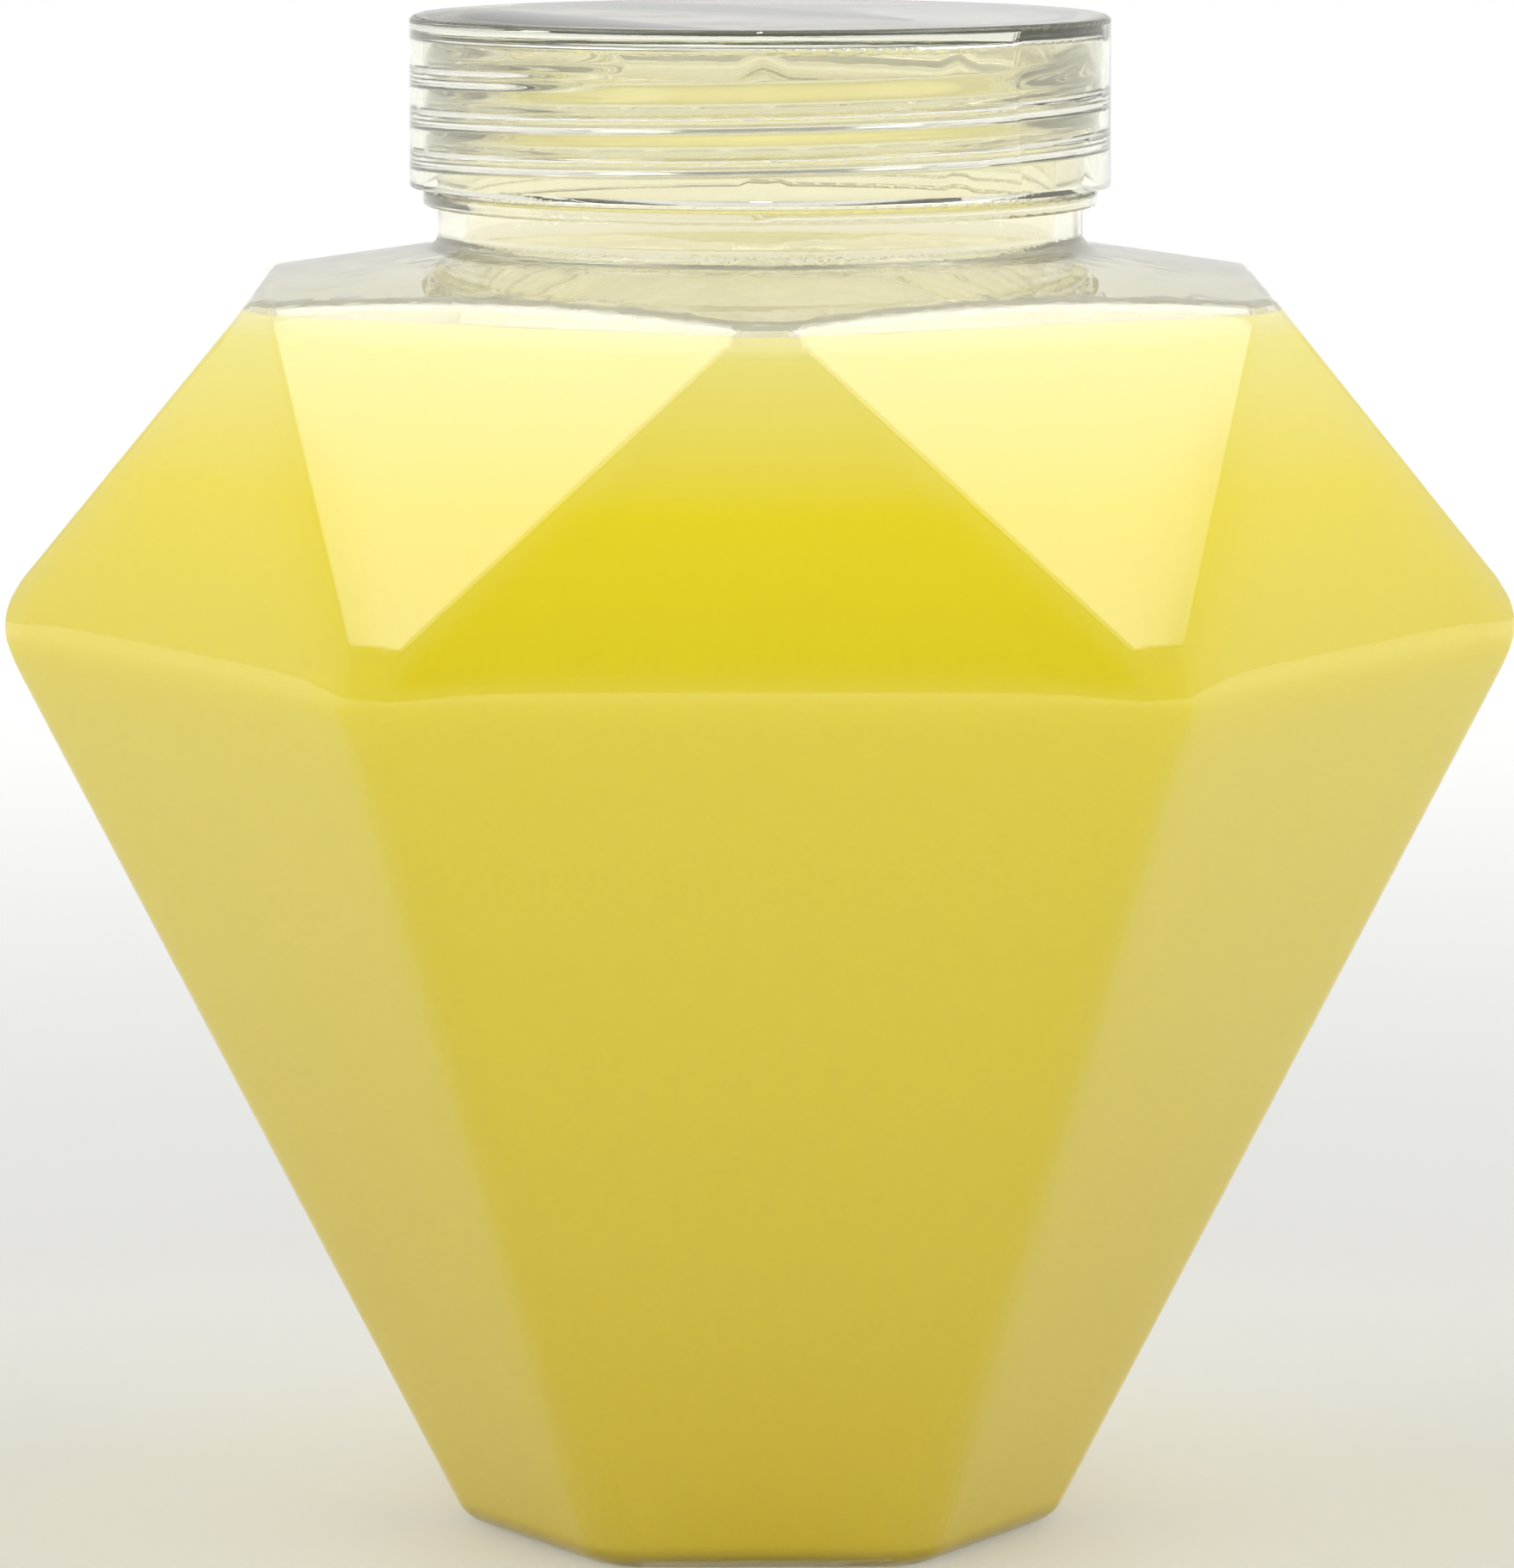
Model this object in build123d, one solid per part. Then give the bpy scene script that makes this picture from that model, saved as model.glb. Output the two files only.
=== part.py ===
from build123d import *
import math
import os

# Faceted body, in millimetres, standing on z = 0 with its axis on Z and one side facing -Y
sides = 6
foot_radius = 21.12  # axis to a corner of the foot hexagon, before rounding
girdle_radius = 53.78  # axis to a corner of the widest hexagon, before rounding
girdle_height = 63.2
table_inset = 15.1  # girdle corner radius less the radius of a shoulder hexagon corner
crown_height = 23.95  # girdle to the corners of the shoulder hexagon, which is turned half a side
kite_setback = 0.96  # leaning facets pass this far inside the girdle corners
upright_setback = 0.78  # upright facets pass this far inside the middles of the girdle sides
tip_trim = 0.95  # the shoulder cuts the upright facets this far below their tips
shoulder_angle = 8.8  # rise of the shoulder cone towards the neck, in degrees

# Rounded edges of the blown body
pavilion_round = 6.0
ridge_round = 3.0
girdle_round = 4.2
foot_round = 2.5
facet_round = 1.2
shoulder_round = 1.8
corner_round = 4.4  # seen from the side, where a leaning facet's tip meets the pavilion corner
corner_inset = 1.93  # girdle corner before rounding to the widest point left
corner_drop = 0.5  # widest point below the girdle
belt_low_angle = 21.0  # flank of the rounding solid below the corner, in degrees from upright
belt_high_angle = 31.0

# Walls
body_wall = 0.7
floor_wall = 1.0
least_round = 0.3

# Push-up in the floor
push_up_radius = 12.5
push_up_depth = 2.2
push_up_round = 1.0

# Neck finish
neck_radius = 22.1
neck_wall = 1.9
neck_height = 16.15  # shoulder corner level to the rim
neck_blend = 1.0
rim_round = 0.4
support_ring_reach = 1.0  # out from the neck
support_ring_thickness = 1.0
support_ring_drop = 10.75  # rim to the top face of the ring
support_ring_round = 0.25

# Screw cap, its roof resting on the rim
cap_thread_gap = 0.95  # neck to the skirt's inside, where the thread runs
cap_wall = 0.95
cap_roof = 1.2
cap_ring_clearance = 0.35  # skirt's lower edge above the support ring
cap_edge_round = 0.5
cap_mouth_chamfer = 0.3
cap_corner_round = 0.4

# Drink
fill_below_table = 1.95  # level of the drink under the shoulder hexagon corners

table_radius = girdle_radius - table_inset
table_height = girdle_height + crown_height
rim_height = table_height + neck_height
bore_radius = neck_radius - neck_wall
support_ring_radius = neck_radius + support_ring_reach
cap_bore_radius = neck_radius + cap_thread_gap
cap_radius = cap_bore_radius + cap_wall
mid_side = math.cos(math.pi / sides)  # corner distance to mid-side distance of a hexagon


# Distance from the axis to the middle of a slanting side face, by height
def face_line(lower, upper, inset):
    slope = (upper[0] - lower[0]) / (upper[1] - lower[1])
    shift = inset * math.hypot(1, slope)
    return lambda height: lower[0] + slope * (height - lower[1]) - shift


# Height at which two face lines cross
def crossing(first, second):
    return (second(0) - first(0)) / (first(1) - first(0) - second(1) + second(0))


def corners(line, height, turn):
    radius = line(height) / mid_side
    angles = [math.radians(turn) + 2 * math.pi * k / sides for k in range(sides)]
    return [Vector(radius * math.cos(a), radius * math.sin(a), height) for a in angles]


def tapered_prism(line, low, high, turn):
    foot = corners(line, low, turn)
    head = corners(line, high, turn)
    faces = [Face(Wire.make_polygon(foot)), Face(Wire.make_polygon(head))]
    for k in range(sides):
        faces.append(Face(Wire.make_polygon([foot[k - 1], foot[k], head[k], head[k - 1]])))
    return Solid(Shell(faces))


# Radius of a rounded edge on the face moved inwards
def inner_round(radius, inset):
    return max(radius - inset, least_round)


def end_heights(edge):
    heights = [vertex.Z for vertex in edge.vertices()]
    return min(heights), max(heights)


# Edges that cross a height
def crossing_edges(solid, height):
    found = []
    for edge in solid.edges():
        low, high = end_heights(edge)
        if low < height < high:
            found.append(edge)
    return found


# Edges that lie wholly between two heights
def edges_between(solid, floor, ceiling):
    found = []
    for edge in solid.edges():
        low, high = end_heights(edge)
        if floor < low and high < ceiling:
            found.append(edge)
    return found


# Body after a cut, with the edges that the cut made outside the neck rounded
def cut_and_round(body, cutter, radius):
    after = (body & cutter).solid()
    rim = []
    for edge in new_edges(body, cutter, combined=after):
        if min(math.hypot(vertex.X, vertex.Y) for vertex in edge.vertices()) > neck_radius / 2:
            rim.append(edge)
    return after.fillet(radius, rim)


# Shoulder surface as a solid of revolution that trims the facets
def shoulder_cone(inset):
    slope = math.tan(math.radians(shoulder_angle))
    reach = girdle_radius
    edge_height = table_height - tip_trim - inset * math.hypot(1, slope)
    outline = Polyline(
        (0, 0),
        (reach, 0),
        (reach, edge_height - slope * (reach - table_radius)),
        (0, edge_height + slope * table_radius),
        close=True,
    )
    return revolve(Plane.XZ * make_face(outline), Axis.Z)


# Solid of revolution that rounds off the six girdle corners, its flanks a little steeper than the facets
def corner_belt(inset):
    radius = corner_round - inset
    centre = (girdle_radius - corner_inset - corner_round, girdle_height - corner_drop)
    head = table_height + neck_height
    turns = [math.radians(angle) for angle in (-belt_low_angle, 0, belt_high_angle)]
    arc = [(centre[0] + radius * math.cos(a), centre[1] + radius * math.sin(a)) for a in turns]
    low_reach = arc[0][0] - math.tan(-turns[0]) * arc[0][1]
    high_reach = arc[2][0] - math.tan(turns[2]) * (head - arc[2][1])
    outline = Curve() + [
        ThreePointArc(*arc),
        Polyline(arc[2], (high_reach, head), (0, head), (0, 0), (low_reach, 0), arc[0]),
    ]
    return revolve(Plane.XZ * make_face(outline), Axis.Z)


# Cut-gem form: pavilion and upright facets first, from which the other cuts are taken
def gem(inset, floor):
    foot = (foot_radius * mid_side, 0)
    girdle = (girdle_radius * mid_side, girdle_height)
    upright = (girdle_radius * mid_side - upright_setback, girdle_height)
    tip = (table_radius, table_height)
    table = (table_radius * mid_side, table_height)
    kite = (girdle_radius - kite_setback, girdle_height)
    head = table_height + neck_height
    pavilion_line = face_line(foot, girdle, inset)
    upright_line = face_line(upright, tip, inset)
    leaning_line = face_line(kite, table, inset)

    waist = crossing(pavilion_line, upright_line)
    low_middle = (floor + waist) / 2
    high_middle = (waist + table_height) / 2
    body = tapered_prism(pavilion_line, floor, head, 0) & tapered_prism(upright_line, floor, head, 0)
    body = body.solid()
    body = body.fillet(inner_round(pavilion_round, inset), crossing_edges(body, low_middle))
    body = body.fillet(inner_round(ridge_round, inset), crossing_edges(body, high_middle))
    girdle_loop = edges_between(body, low_middle, high_middle)
    body = body.fillet(inner_round(girdle_round, inset), girdle_loop)
    foot_loop = edges_between(body, floor - 1, low_middle)
    body = body.fillet(inner_round(foot_round, inset), foot_loop)

    leaning = tapered_prism(leaning_line, floor, head, 180 / sides)
    body = cut_and_round(body, leaning, inner_round(facet_round, inset))
    body = cut_and_round(body, shoulder_cone(inset), inner_round(shoulder_round, inset))
    return (body & corner_belt(inset)).solid()


# Ball whose top makes the push-up, with its surface raised by the floor's thickness for the inside
def push_up_ball(raise_by):
    radius = (push_up_radius**2 + push_up_depth**2) / (2 * push_up_depth)
    return Pos(0, 0, push_up_depth - radius) * Sphere(radius + raise_by)


def circles(solid, radius, low, high):
    found = solid.edges().filter_by(GeomType.CIRCLE)
    found = found.filter_by(lambda e: abs(e.radius - radius) < 0.001)
    return found.filter_by(lambda e: low < e.center().Z < high)


def neck_outside():
    ring_top = rim_height - support_ring_drop
    ring_bottom = ring_top - support_ring_thickness
    outline = Polyline(
        (0, girdle_height),
        (neck_radius, girdle_height),
        (neck_radius, ring_bottom),
        (support_ring_radius, ring_bottom),
        (support_ring_radius, ring_top),
        (neck_radius, ring_top),
        (neck_radius, rim_height),
        (0, rim_height),
        close=True,
    )
    return revolve(Plane.XZ * make_face(outline), Axis.Z)


def bottle_outside():
    body = gem(0, 0) - push_up_ball(0)
    body = body.solid()
    body = body.fillet(push_up_round, circles(body, push_up_radius, -1, 1))
    body = (body + neck_outside()).solid()
    ring_bottom = rim_height - support_ring_drop - support_ring_thickness
    root = circles(body, neck_radius, table_height - tip_trim, ring_bottom - 0.001)
    body = body.fillet(neck_blend, root)
    ring_edges = circles(body, support_ring_radius, table_height, rim_height)
    return body.fillet(support_ring_round, ring_edges)


def bottle_inside():
    room = gem(body_wall, floor_wall) - push_up_ball(floor_wall)
    bore_height = rim_height - girdle_height
    bore = Pos(0, 0, girdle_height) * Cylinder(bore_radius, bore_height, align=(Align.CENTER, Align.CENTER, Align.MIN))
    room = (room.solid() + bore).solid()
    root = circles(room, bore_radius, table_height - tip_trim, rim_height - 0.001)
    return room.fillet(neck_blend + body_wall, root)


def make_bottle():
    shell = (bottle_outside() - bottle_inside()).solid()
    rims = circles(shell, neck_radius, rim_height - 0.001, rim_height + 0.001)
    rims += circles(shell, bore_radius, rim_height - 0.001, rim_height + 0.001)
    return shell.fillet(rim_round, rims)


def make_drink():
    level = table_height - fill_below_table
    block = Box(3 * girdle_radius, 3 * girdle_radius, level, align=(Align.CENTER, Align.CENTER, Align.MIN))
    return (bottle_inside() & block).solid()


def make_cap():
    skirt_foot = rim_height - support_ring_drop + cap_ring_clearance
    roof_top = rim_height + cap_roof
    outline = Polyline(
        (0, rim_height),
        (cap_bore_radius, rim_height),
        (cap_bore_radius, skirt_foot + cap_mouth_chamfer),
        (cap_bore_radius + cap_mouth_chamfer, skirt_foot),
        (cap_radius, skirt_foot),
        (cap_radius, roof_top),
        (0, roof_top),
        close=True,
    )
    cap = revolve(Plane.XZ * make_face(outline), Axis.Z).solid()
    cap = cap.fillet(cap_edge_round, circles(cap, cap_radius, rim_height, roof_top + 1))
    return cap.fillet(cap_corner_round, circles(cap, cap_bore_radius, rim_height - 0.001, rim_height + 0.001))


os.makedirs("parts", exist_ok=True)
nodes = {"bottle": make_bottle(), "drink": make_drink(), "cap": make_cap()}
for name, solid in nodes.items():
    export_step(solid, f"parts/{name}.step")
    print(name, "volume", round(solid.volume / 1000, 2), "ml")
print("brimful", round(bottle_inside().volume / 1000, 1), "ml")
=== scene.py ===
import math

import bmesh
import bpy
from mathutils import Matrix, Vector


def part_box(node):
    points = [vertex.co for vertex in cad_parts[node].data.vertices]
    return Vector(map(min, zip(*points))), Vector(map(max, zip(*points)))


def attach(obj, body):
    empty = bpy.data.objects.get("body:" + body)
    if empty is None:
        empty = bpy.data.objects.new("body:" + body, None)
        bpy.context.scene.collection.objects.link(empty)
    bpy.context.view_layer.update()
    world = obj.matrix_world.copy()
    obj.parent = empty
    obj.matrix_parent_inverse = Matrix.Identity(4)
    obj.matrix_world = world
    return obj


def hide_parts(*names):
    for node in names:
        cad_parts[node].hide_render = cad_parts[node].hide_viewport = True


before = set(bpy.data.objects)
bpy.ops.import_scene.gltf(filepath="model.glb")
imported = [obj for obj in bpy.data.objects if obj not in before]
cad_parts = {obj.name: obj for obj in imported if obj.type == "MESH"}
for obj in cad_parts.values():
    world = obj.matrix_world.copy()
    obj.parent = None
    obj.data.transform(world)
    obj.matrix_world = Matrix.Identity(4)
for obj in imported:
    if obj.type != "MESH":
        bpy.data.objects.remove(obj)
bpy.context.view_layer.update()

mm = 0.001
print("frame loaded:", sorted(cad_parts))


def linearColour(hexText):  # sRGB hex to the linear colour that shaders take
    channels = [int(hexText[i:i + 2], 16) / 255 for i in (1, 3, 5)]
    linear = [c / 12.92 if c <= 0.04045 else ((c + 0.055) / 1.055) ** 2.4 for c in channels]
    return (*linear, 1.0)


# A socket goes by its name or its number, any other setting is the node's own
def addNode(tree, kind, settings=None, links=None):
    node = tree.nodes.new(kind)
    for name, value in (settings or {}).items():
        if isinstance(name, int) or name in node.inputs:
            node.inputs[name].default_value = value
        else:
            setattr(node, name, value)
    for name, source in (links or {}).items():
        tree.links.new(source, node.inputs[name])
    return node


def newMaterial(name):
    material = bpy.data.materials.new(name)
    material.use_nodes = True
    material.node_tree.nodes.clear()
    return material, material.node_tree


cameraView = {
    "lens": 230.09,  # mm on a 36 mm sensor, a long lens, as the nearly parallel sides ask
    "distance": 685.9 * mm,  # camera to the bottle's axis
    "height": 135.73 * mm,
    "lookDown": 7.0,  # degrees
    "bottleTurn": 0.56,  # the bottle stands turned this far from square on
    "aim": 0.018,  # degrees to the left, since the axis stands 3.7 px right of the middle
    "nearest": 20 * mm,
}


def placeCamera(view):
    turn = math.radians(-view["bottleTurn"])
    data = bpy.data.cameras.new("photoCamera")
    data.lens = view["lens"]
    data.sensor_width = 36
    data.clip_start = view["nearest"]
    camera = bpy.data.objects.new("photoCamera", data)
    bpy.context.collection.objects.link(camera)
    camera.location = (view["distance"] * math.sin(turn), -view["distance"] * math.cos(turn), view["height"])
    camera.rotation_euler = (math.radians(90 - view["lookDown"]), 0, turn + math.radians(view["aim"]))
    bpy.context.scene.camera = camera


placeCamera(cameraView)
print("camera placed")


white = (1, 1, 1, 1)

studio = {
    "floorSize": 8.0,
    "floorColour": "#EFEFEC",
    "glowNear": 0.08,  # lifts the floor towards white for the eye and for gloss, its shadows stay
    "glowFar": 0.55,
    "glowFrom": 0.08,  # m from the bottle
    "glowTo": 0.7,
    "boxRadiance": 2.1,  # softboxes, times a white surface
    "boxWidth": 0.28,
    "boxSoftSides": 0.3,  # share of the width over which each side fades
    "boxSoftEnds": 0.15,  # and of the length over which each end does
    "boxDistance": 0.60,
    "boxCentre": 0.07,  # they aim at this height on the bottle's axis
    "boxFrom": (0.50, -0.44, 0.76),  # direction of its front end, mirrored for the other side
    "boxTo": (0.44, 0.48, 0.76),  # and of its back end
    "spotPower": 8.0,  # W, a narrow spot straight above that lights the drink through the cap
    "spotHeight": 0.6,
    "spotAngle": 5.0,  # degrees
    "spotBlend": 0.4,
    "spotRadius": 0.02,
    "frontLight": 3.3,  # what matte surfaces get from the room in front,
    "backLight": 3.2,  # from behind
    "topLight": 0.05,  # and from straight above
    "lightTurn": (-0.6, 0.8),  # y of the directions between which front goes over to back
    "lightLift": (0.16, 0.62),  # z of the directions between which the sides go over to the top
    "shine": 0.6,  # what gloss sees of the room,
    "backShine": 0.74,  # of its wall behind the bottle
    "shineTurn": (0.0, 0.8),
    "flagShine": 0.03,  # and of the black flag over the camera
    "flagDirection": (0.0, -0.87, 0.49),
    "flagSpread": (0.88, 0.993),  # cosines of the angles at which it ends and starts
    "frontThrough": 0.25,  # what clear plastic shows of the camera's dim side
    "backThrough": 0.9,  # and of the white wall behind the bottle
    "throughTurn": (-0.35, 0.3),
}


def makeFloor(settings):
    half = settings["floorSize"] / 2
    mesh = bpy.data.meshes.new("studioFloor")
    corners = [(-half, -half, 0), (half, -half, 0), (half, half, 0), (-half, half, 0)]
    mesh.from_pydata(corners, [], [(0, 1, 2, 3)])
    floor = bpy.data.objects.new("studioFloor", mesh)
    bpy.context.collection.objects.link(floor)
    material, tree = newMaterial("paintedStudioBoard")  # matte white paint: pale, no shine
    paint = addNode(tree, "ShaderNodeBsdfDiffuse", {"Color": linearColour(settings["floorColour"])})
    place = addNode(tree, "ShaderNodeTexCoord")
    away = addNode(tree, "ShaderNodeVectorMath", {"operation": "LENGTH"}, {0: place.outputs["Object"]})
    strength = addNode(tree, "ShaderNodeMapRange", {
        "interpolation_type": "SMOOTHSTEP",
        "From Min": settings["glowFrom"], "From Max": settings["glowTo"],
        "To Min": settings["glowNear"], "To Max": settings["glowFar"],
    }, {"Value": away.outputs["Value"]})
    path = addNode(tree, "ShaderNodeLightPath")
    seen = addNode(tree, "ShaderNodeMath", {"operation": "SUBTRACT", 0: 1.0}, {
        1: path.outputs["Is Diffuse Ray"],  # matte surfaces don't get the glow
    })
    level = addNode(tree, "ShaderNodeMath", {"operation": "MULTIPLY"}, {
        0: strength.outputs["Result"], 1: seen.outputs[0],
    })
    glow = addNode(tree, "ShaderNodeEmission", {"Color": white}, {"Strength": level.outputs[0]})
    both = addNode(tree, "ShaderNodeAddShader", links={0: paint.outputs["BSDF"], 1: glow.outputs["Emission"]})
    addNode(tree, "ShaderNodeOutputMaterial", links={"Surface": both.outputs["Shader"]})
    mesh.materials.append(material)


def makeSoftbox(name, side, settings):
    data = bpy.data.lights.new(name, "AREA")
    data.shape = "RECTANGLE"
    front, back = (Vector((side * x, y, z)).normalized() * settings["boxDistance"]
                   for x, y, z in (settings["boxFrom"], settings["boxTo"]))
    data.size, data.size_y = settings["boxWidth"], (back - front).length
    area = data.size * data.size_y
    data.energy = settings["boxRadiance"] * math.pi * area  # a lamp's radiance is its power over pi x area
    data.use_nodes = True
    tree = data.node_tree
    tree.nodes.clear()
    place = addNode(tree, "ShaderNodeNewGeometry")
    offset = addNode(tree, "ShaderNodeVectorMath", {"operation": "SUBTRACT", 1: (0.5, 0.5, 0.0)}, {
        0: place.outputs["Parametric"],
    })
    size = addNode(tree, "ShaderNodeVectorMath", {"operation": "ABSOLUTE"}, {0: offset.outputs[0]})
    axes = addNode(tree, "ShaderNodeSeparateXYZ", links={"Vector": size.outputs[0]})
    fades = []
    for axis, softness in (("X", settings["boxSoftSides"]), ("Y", settings["boxSoftEnds"])):
        fades.append(addNode(tree, "ShaderNodeMapRange", {
            "interpolation_type": "SMOOTHSTEP",
            "From Min": 0.5 - softness, "From Max": 0.5, "To Min": 1.0, "To Max": 0.0,
        }, {"Value": axes.outputs[axis]}))
    level = addNode(tree, "ShaderNodeMath", {"operation": "MULTIPLY"}, {
        0: fades[0].outputs["Result"], 1: fades[1].outputs["Result"],
    })
    cloth = addNode(tree, "ShaderNodeEmission", {"Color": white}, {"Strength": level.outputs[0]})
    addNode(tree, "ShaderNodeOutputLight", links={"Surface": cloth.outputs["Emission"]})
    box = bpy.data.objects.new(name, data)
    bpy.context.collection.objects.link(box)
    along = (back - front).normalized()
    away = (front + back).normalized()
    across = along.cross(away)
    box.location = Vector((0, 0, settings["boxCentre"])) + (front + back) / 2
    box.rotation_mode = "QUATERNION"
    box.rotation_quaternion = Matrix((across, along, away)).transposed().to_quaternion()


def makeSpot(settings):
    data = bpy.data.lights.new("neckSpot", "SPOT")
    data.energy = settings["spotPower"]
    data.spot_size = math.radians(settings["spotAngle"])
    data.spot_blend = settings["spotBlend"]
    data.shadow_soft_size = settings["spotRadius"]
    spot = bpy.data.objects.new("neckSpot", data)
    bpy.context.collection.objects.link(spot)
    spot.location = (0, 0, settings["spotHeight"])


def makeRoom(settings):
    world = bpy.data.worlds.new("whiteRoom")
    bpy.context.scene.world = world
    world.use_nodes = True
    tree = world.node_tree
    tree.nodes.clear()
    direction = addNode(tree, "ShaderNodeTexCoord")
    axes = addNode(tree, "ShaderNodeSeparateXYZ", links={"Vector": direction.outputs["Generated"]})
    walls = {}  # level of the walls from the front round to the back, for each use
    for use, front, back in (("light", "frontLight", "backLight"), ("shine", "shine", "backShine"),
                             ("through", "frontThrough", "backThrough")):
        start, end = settings[use + "Turn"]
        walls[use] = addNode(tree, "ShaderNodeMapRange", {
            "interpolation_type": "SMOOTHSTEP",
            "From Min": start, "From Max": end, "To Min": settings[front], "To Max": settings[back],
        }, {"Value": axes.outputs["Y"]}).outputs["Result"]
    lift = addNode(tree, "ShaderNodeMapRange", {
        "interpolation_type": "SMOOTHSTEP",
        "From Min": settings["lightLift"][0], "From Max": settings["lightLift"][1],
    }, {"Value": axes.outputs["Z"]})
    light = addNode(tree, "ShaderNodeMix", {"data_type": "FLOAT", 3: settings["topLight"]}, {
        0: lift.outputs["Result"], 2: walls["light"],
    })
    toFlag = Vector(settings["flagDirection"]).normalized()
    flag = addNode(tree, "ShaderNodeVectorMath", {"operation": "DOT_PRODUCT", 1: toFlag}, {
        0: direction.outputs["Generated"],
    })
    shine = addNode(tree, "ShaderNodeMapRange", {
        "interpolation_type": "SMOOTHSTEP", "To Max": settings["flagShine"],
        "From Min": settings["flagSpread"][0], "From Max": settings["flagSpread"][1],
    }, {"Value": flag.outputs["Value"], "To Min": walls["shine"]})
    path = addNode(tree, "ShaderNodeLightPath")
    mirrored = addNode(tree, "ShaderNodeMath", {"operation": "MAXIMUM"}, {
        0: path.outputs["Is Glossy Ray"], 1: path.outputs["Is Transmission Ray"],
    })
    clear = addNode(tree, "ShaderNodeMix", {"data_type": "FLOAT"}, {
        0: path.outputs["Is Transmission Ray"], 2: shine.outputs["Result"], 3: walls["through"],
    })
    level = addNode(tree, "ShaderNodeMix", {"data_type": "FLOAT"}, {
        0: mirrored.outputs[0], 2: light.outputs[0], 3: clear.outputs[0],
    })
    seen = addNode(tree, "ShaderNodeMath", {"operation": "MAXIMUM"}, {
        0: path.outputs["Is Camera Ray"], 1: level.outputs[0],  # the camera sees white
    })
    background = addNode(tree, "ShaderNodeBackground", {"Color": white}, {"Strength": seen.outputs[0]})
    addNode(tree, "ShaderNodeOutputWorld", links={"Surface": background.outputs["Background"]})


makeFloor(studio)
makeSoftbox("softboxLeft", -1, studio)
makeSoftbox("softboxRight", 1, studio)
makeSpot(studio)
makeRoom(studio)
bpy.context.scene.view_settings.view_transform = "Standard"
print("studio ready")


petLook = {
    "tint": "#FBF9EA",
    "haze": (  # share of matte scatter by height in mm
        (83.8, 0.0),  # the body's wall is thin and clear,
        (85.4, 0.2),  # the shoulder's edge
        (87.2, 0.2),
        (88.8, 0.06),  # and the neck are thicker
    ),
    "roughness": 0.0,
    "ior": 1.6,
    "waveSize": 9.0,  # mm between the slow waves of the blown wall
    "waveDepth": 0.012,  # mm
    "waveDetail": 2.0,
    "waveRoughness": 0.45,
    "shadowTint": "#F4F4F0",
}


# Colour by height above the floor, from (height in mm, linear colour) pairs
def layersByHeight(tree, place, stops):
    low, high = stops[0][0], stops[-1][0]
    axes = addNode(tree, "ShaderNodeSeparateXYZ", links={"Vector": place.outputs["Object"]})
    height = addNode(tree, "ShaderNodeMapRange", {
        "From Min": low * mm, "From Max": high * mm,
    }, {"Value": axes.outputs["Z"]})
    layers = addNode(tree, "ShaderNodeValToRGB", links={"Fac": height.outputs["Result"]})
    marks = layers.color_ramp.elements
    while len(marks) < len(stops):
        marks.new(1.0)
    for mark, (level, colour) in zip(marks, stops):
        mark.position = (level - low) / (high - low)
        mark.color = colour
    return layers.outputs["Color"]


def clearPlastic(name, look):
    material, tree = newMaterial(name)
    place = addNode(tree, "ShaderNodeTexCoord")
    waves = addNode(tree, "ShaderNodeTexNoise", {
        "Scale": 1 / (look["waveSize"] * mm),
        "Detail": look["waveDetail"], "Roughness": look["waveRoughness"],
    }, {"Vector": place.outputs["Object"]})
    ripple = addNode(tree, "ShaderNodeBump", {
        "Strength": 1.0, "Distance": look["waveDepth"] * mm,
    }, {"Height": waves.outputs["Fac"]})
    clearness = [(height, (1 - haze, 1 - haze, 1 - haze, 1)) for height, haze in look["haze"]]
    plastic = addNode(tree, "ShaderNodeBsdfPrincipled", {
        "Base Color": linearColour(look["tint"]), "Roughness": look["roughness"], "IOR": look["ior"],
    }, {"Normal": ripple.outputs["Normal"], "Transmission Weight": layersByHeight(tree, place, clearness)})
    through = addNode(tree, "ShaderNodeBsdfTransparent", {"Color": linearColour(look["shadowTint"])})
    path = addNode(tree, "ShaderNodeLightPath")
    passing = addNode(tree, "ShaderNodeMath", {"operation": "MAXIMUM"}, {
        0: path.outputs["Is Shadow Ray"],  # light on its way to what is inside isn't bent
        1: path.outputs["Is Diffuse Ray"],
    })
    mix = addNode(tree, "ShaderNodeMixShader", links={
        0: passing.outputs[0], 1: plastic.outputs["BSDF"], 2: through.outputs["BSDF"],
    })
    addNode(tree, "ShaderNodeOutputMaterial", links={"Surface": mix.outputs["Shader"]})
    return material


# Stretch-blown PET: glass-clear and glossy, with slow waves that bend the highlights
petMaterial = clearPlastic("stretchBlownPet", petLook)

capLook = {
    "tint": "#F8F7EA",
    "haze": ((0.0, 0.03), (100.0, 0.03)),  # even
    "roughness": 0.0,
    "ior": 1.49,
    "waveSize": 7.0,  # mm, sink marks hardly seen
    "waveDepth": 0.006,
    "waveDetail": 2.0,
    "waveRoughness": 0.45,
    "shadowTint": "#F2F2F4",
}
# Injection-moulded clarified polypropylene: clear with a little milk in it, smooth gloss
capMaterial = clearPlastic("clarifiedPolypropylene", capLook)

drinkLook = {
    "colourWithPaintedLight": (  # by height in mm: deeper and darker towards the foot, a painted shade where less light reaches the down-facing facets
        (2.0, "#C3AD10"),
        (62.0, "#DDCB18"),
        (74.0, "#EAD720"),
        (86.5, "#EEE58E"),  # painted light: paler at the top, where light comes in
    ),
    "surfaceColour": "#F6E22C",
    "surfaceRoughness": 0.5,
    "surfaceIor": 1.34,
    "surfaceShine": 0.0,  # specular level
    "wallRoughness": 0.06,
    "wallIor": 1.53,  # the second, weaker mirror where the juice wets the wall
    "wallShine": 0.5,
    "overlap": 0.06,  # mm into the wall, so no film of air shows between them
}


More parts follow.
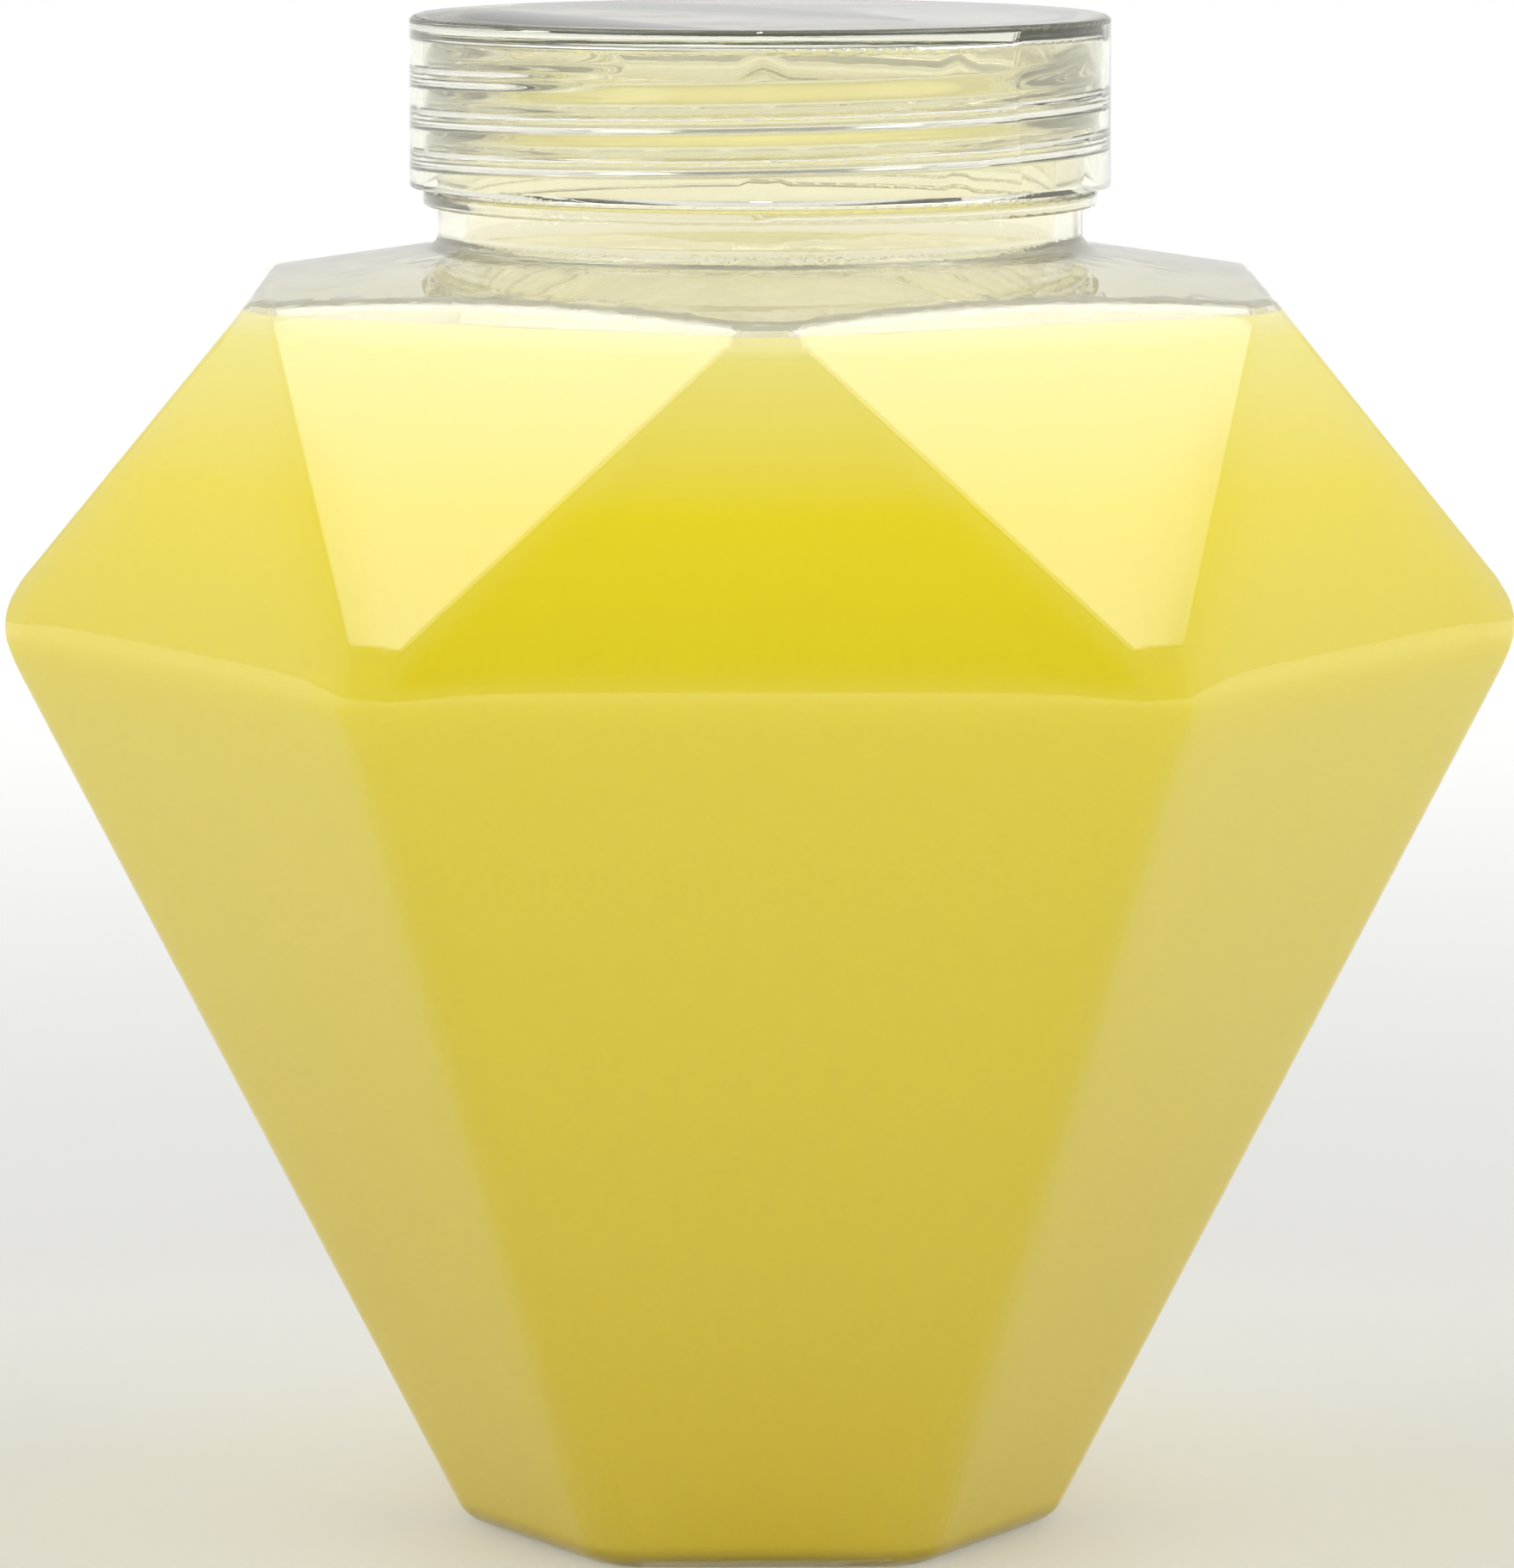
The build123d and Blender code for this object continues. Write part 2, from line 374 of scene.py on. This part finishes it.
def juiceMaterial(name, look, place):  # place is the look's wall or surface
    material, tree = newMaterial(name)
    juice = addNode(tree, "ShaderNodeBsdfPrincipled", {
        "Base Color": linearColour(look["surfaceColour"]),
        "Roughness": look[place + "Roughness"], "IOR": look[place + "Ior"],
        "Specular IOR Level": look[place + "Shine"],
    })
    if place == "wall":
        # the juice's yellow, with painted shade towards the foot and painted light at the top
        stops = [(height, linearColour(hexText)) for height, hexText in look["colourWithPaintedLight"]]
        colour = layersByHeight(tree, addNode(tree, "ShaderNodeTexCoord"), stops)
        tree.links.new(colour, juice.inputs["Base Color"])
    addNode(tree, "ShaderNodeOutputMaterial", links={"Surface": juice.outputs["BSDF"]})
    return material


# Cloudy yellow juice: opaque, with painted shade towards the foot and painted light at the top, and a soft
# gloss where it wets the wall
juiceWall = juiceMaterial("cloudyJuiceAtWall", drinkLook, "wall")
# Its free surface carries fine froth and pulp, so it is matt and doesn't mirror
juiceTop = juiceMaterial("cloudyJuiceSurface", drinkLook, "surface")
print("materials made")


facetLook = {  # mm
    "cell": 2.5,  # grid cut into the flat facets
    "cutOffset": 0.13,  # keeps the grid off the facets' own corners
    "leastArea": 1.5,  # square mm, smaller faces stay whole
    "reach": 1.0,  # depth over which neighbouring facets blend, so that each bulges as a blown wall does
    "share": {"leaning": 0.12, "upright": 0.9, "pavilion": 0.6},  # how much of it each kind shows
    "low": 4.0,  # it ends towards the foot
    "lowFade": 4.0,
    "high": 83.0,  # and towards the shoulder
    "highFade": 6.0,
    "gridAbove": 5.0,  # the grid runs this far past it
    "facetArea": 100.0,  # square mm, a smaller flat isn't a facet
    "facetReach": 10.0,  # its plane passes the origin at least this far off
    "levelFrom": 0.9,  # z of its normal, from which it is a floor or a roof
    "leaningFrom": 0.5,  # and from which a facet above the girdle is a leaning one
    "sharpFrom": 35.0,  # degrees, edges with a larger turn stay sharp
    "sharpFromDrink": 40.0,
}


def copyOfNode(node):  # a merged copy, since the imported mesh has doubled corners
    shell = bmesh.new()
    shell.from_mesh(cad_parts[node].data)
    bmesh.ops.remove_doubles(shell, verts=shell.verts, dist=0.0005 * mm)
    bmesh.ops.dissolve_degenerate(shell, edges=shell.edges, dist=0.0002 * mm)
    return shell


def gridCut(shell, look):  # even rows of points over the large faces
    cell = look["cell"] * mm
    leastArea = look["leastArea"] * mm * mm
    ceiling = (look["high"] + look["gridAbove"]) * mm
    for axis in range(3):
        values = [v.co[axis] for v in shell.verts]
        across = Vector([1.0 if k == axis else 0.0 for k in range(3)])
        place = math.ceil(min(values) / cell) * cell + look["cutOffset"] * mm
        while place < max(values):
            geometry = {}  # each face, edge and point once, in the mesh's own order
            for face in shell.faces:
                if face.calc_area() <= leastArea or face.calc_center_median().z >= ceiling:
                    continue
                reach = [v.co[axis] for v in face.verts]
                if min(reach) < place < max(reach):
                    geometry.update(dict.fromkeys([face, *face.edges, *face.verts]))
            bmesh.ops.bisect_plane(
                shell, geom=list(geometry), dist=0.001 * mm, plane_co=across * place, plane_no=across)
            place += cell


def addPiece(shell, name, node, body, materials, sharpFrom):
    mesh = bpy.data.meshes.new(name)
    shell.to_mesh(mesh)
    shell.free()
    if "custom_normal" in mesh.attributes:
        mesh.attributes.remove(mesh.attributes["custom_normal"])
    mesh.materials.clear()
    for material in materials:
        mesh.materials.append(material)
    mesh.polygons.foreach_set("use_smooth", [True] * len(mesh.polygons))
    mesh.set_sharp_from_angle(angle=math.radians(sharpFrom))
    piece = bpy.data.objects.new(name, mesh)
    bpy.context.collection.objects.link(piece)
    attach(piece, body)
    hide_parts(node)
    return piece


def flatFacets(mesh, look):  # outward normal and distance from the origin of each large sloping facet
    areas = {}
    for polygon in mesh.polygons:
        normal = polygon.normal
        distance = normal.dot(polygon.center)
        if abs(normal.z) < look["levelFrom"] and distance > look["facetReach"] * mm:
            key = (*(round(c, 2) for c in normal), round(distance / mm * 4))
            area, _, _ = areas.get(key, (0.0, None, None))
            areas[key] = (area + polygon.area, normal.copy(), distance)
    least = look["facetArea"] * mm * mm
    return [(normal, distance) for area, normal, distance in areas.values() if area > least]


def softenFacets(mesh, look):  # area-weighted normals, and on the facets a slow bulge towards their edges
    facets = flatFacets(mesh, look)
    weighted = [Vector() for _ in mesh.vertices]
    for polygon in mesh.polygons:
        for index in polygon.vertices:
            weighted[index] += polygon.normal * polygon.area
    sharp = {index for edge in mesh.edges if edge.use_edge_sharp for index in edge.vertices}
    normals = []
    for index, v in enumerate(mesh.vertices):
        normal = weighted[index].normalized()
        height = v.co.z / mm
        fade = min(1.0, (height - look["low"]) / look["lowFade"], (look["high"] - height) / look["highFade"])
        if facets and fade > 0 and normal.dot(Vector((v.co.x, v.co.y, 0))) > 0:
            soft = Vector()
            nearest, own = math.inf, None
            for facing, distance in facets:
                depth = distance - facing.dot(v.co)
                soft += facing * math.exp(-depth / (look["reach"] * mm))
                if depth < nearest:
                    nearest, own = depth, facing
            kind = "pavilion" if own.z < 0 else "leaning" if own.z > look["leaningFrom"] else "upright"
            normal = normal.lerp(soft.normalized(), look["share"][kind] * fade).normalized()
        normals.append(normal)
    corners = [Vector(c.vector) for c in mesh.corner_normals]
    mesh.normals_split_custom_set([
        corners[loop.index] if loop.vertex_index in sharp else normals[loop.vertex_index]
        for loop in mesh.loops])
    print(mesh.name, "facets softened:", len(facets))


threadCut = {
    "pitch": 2.8,  # mm
    "turns": 836,  # degrees from end to end
    "startAngle": -231,  # the lower end, in degrees from +X
    "startHeight": 95.6,  # mm, middle of the crest at the lower end
    "runOut": 25,  # degrees over which an end fades into the wall
    "roundness": 0.4,  # 0 for straight flanks, 1 for a smooth wave
    "around": 240,  # steps round the neck
    "rows": 110,
    "margin": 0.1,  # mm, strip at the ends of the wall that joins the rows to the rest
}

neckRidge = {  # mm, a buttress thread: its long slope is on top
    "crest": 22.9,  # from the axis
    "crestWidth": 0.25,
    "upperSlope": 1.35,
    "lowerSlope": 0.6,
    "offset": 0.0,
}

capRidge = {  # sits under the neck's ridge, which holds it down
    "crest": 22.5,
    "crestWidth": 0.3,
    "upperSlope": 0.5,
    "lowerSlope": 0.6,
    "offset": -1.15,
}


def ridgeLevel(degrees, z, ridge):  # 0 on the plain wall to 1 on the crest, z in mm
    best = 0.0
    for lap in range(-1, 5):
        along = degrees - threadCut["startAngle"] + 360 * lap
        if not 0 < along < threadCut["turns"]:
            continue
        above = z - (threadCut["startHeight"] + ridge["offset"] + threadCut["pitch"] * along / 360)
        slope = ridge["upperSlope"] if above > 0 else ridge["lowerSlope"]
        level = max(0.0, min(1.0, 1 - (abs(above) - ridge["crestWidth"] / 2) / slope))
        level += threadCut["roundness"] * (level * level * (3 - 2 * level) - level)
        fade = min(1.0, along / threadCut["runOut"], (threadCut["turns"] - along) / threadCut["runOut"])
        best = max(best, level * fade)
    return best


# The plain round wall makes way for a threaded one, sizes in mm
def cutThread(shell, radius, low, high, ridge):
    def isWall(face):
        return all(abs(math.hypot(v.co.x, v.co.y) - radius * mm) < 0.02 * mm
                   and (low - 0.01) * mm < v.co.z < (high + 0.01) * mm for v in face.verts)

    wall = [face for face in shell.faces if isWall(face)]
    bmesh.ops.delete(shell, geom=wall, context="FACES")
    openEdges = [edge for edge in shell.edges if edge.is_boundary]
    middle = (low + high) / 2 * mm
    lowLoop = [edge for edge in openEdges if edge.verts[0].co.z < middle]
    highLoop = [edge for edge in openEdges if edge.verts[0].co.z >= middle]
    around, rows, margin = threadCut["around"], threadCut["rows"], threadCut["margin"]
    grid = []
    for row in range(rows + 1):
        z = low + margin + (high - low - 2 * margin) * row / rows
        ring = []
        for step in range(around):
            turn = 2 * math.pi * step / around
            level = ridgeLevel((math.degrees(turn) + 180) % 360 - 180, z, ridge)
            reach = radius + (ridge["crest"] - radius) * level
            ring.append(shell.verts.new((reach * math.cos(turn) * mm, reach * math.sin(turn) * mm, z * mm)))
        grid.append(ring)
    for lower, upper in zip(grid, grid[1:]):
        for step in range(around):
            shell.faces.new((lower[step - 1], lower[step], upper[step], upper[step - 1]))
    for loop, ring in ((lowLoop, grid[0]), (highLoop, grid[-1])):
        rim = [shell.edges.get((ring[step - 1], ring[step])) for step in range(around)]
        bmesh.ops.bridge_loops(shell, edges=loop + rim)
    bmesh.ops.recalc_face_normals(shell, faces=shell.faces)
    print("thread cut, plain faces replaced:", len(wall))


neckFinish = {  # mm, as in the solids
    "neckRadius": 22.1,
    "ringTop": 10.75,  # rim down to the support ring's top
    "rimRound": 0.4,
    "capBore": 23.05,
    "capCorner": 0.4,
    "capMouth": 0.3,
}

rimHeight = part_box("bottle")[1].z / mm
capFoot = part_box("cap")[0].z / mm
ringTop = rimHeight - neckFinish["ringTop"]
neckTop = rimHeight - neckFinish["rimRound"]
boreFoot = capFoot + neckFinish["capMouth"]
boreTop = rimHeight - neckFinish["capCorner"]
sharpFrom = facetLook["sharpFrom"]

shell = copyOfNode("bottle")
gridCut(shell, facetLook)
cutThread(shell, neckFinish["neckRadius"], ringTop, neckTop, neckRidge)
bottleWall = addPiece(shell, "bottleWall", "bottle", "bottle", [petMaterial], sharpFrom)
softenFacets(bottleWall.data, facetLook)
print("bottle made")

shell = copyOfNode("cap")
cutThread(shell, neckFinish["capBore"], boreFoot, boreTop, capRidge)
screwCap = addPiece(shell, "screwCap", "cap", "cap", [capMaterial], sharpFrom)
softenFacets(screwCap.data, facetLook)
print("cap made")

shell = copyOfNode("drink")
gridCut(shell, facetLook)
bmesh.ops.recalc_face_normals(shell, faces=shell.faces)
shell.normal_update()
levelHeight = max(v.co.z for v in shell.verts) - 0.001 * mm
moves = {}
for v in shell.verts:
    outward = Vector((v.co.x, v.co.y, 0)).normalized() if v.co.z > levelHeight else v.normal
    moves[v] = outward * drinkLook["overlap"] * mm
for v, move in moves.items():
    v.co += move
for face in shell.faces:
    face.material_index = 1 if all(v.co.z > levelHeight for v in face.verts) else 0
juices = [juiceWall, juiceTop]
drinkBody = addPiece(shell, "drinkBody", "drink", "bottle", juices, facetLook["sharpFromDrink"])
softenFacets(drinkBody.data, facetLook)
print("drink made")

bpy.context.view_layer.update()
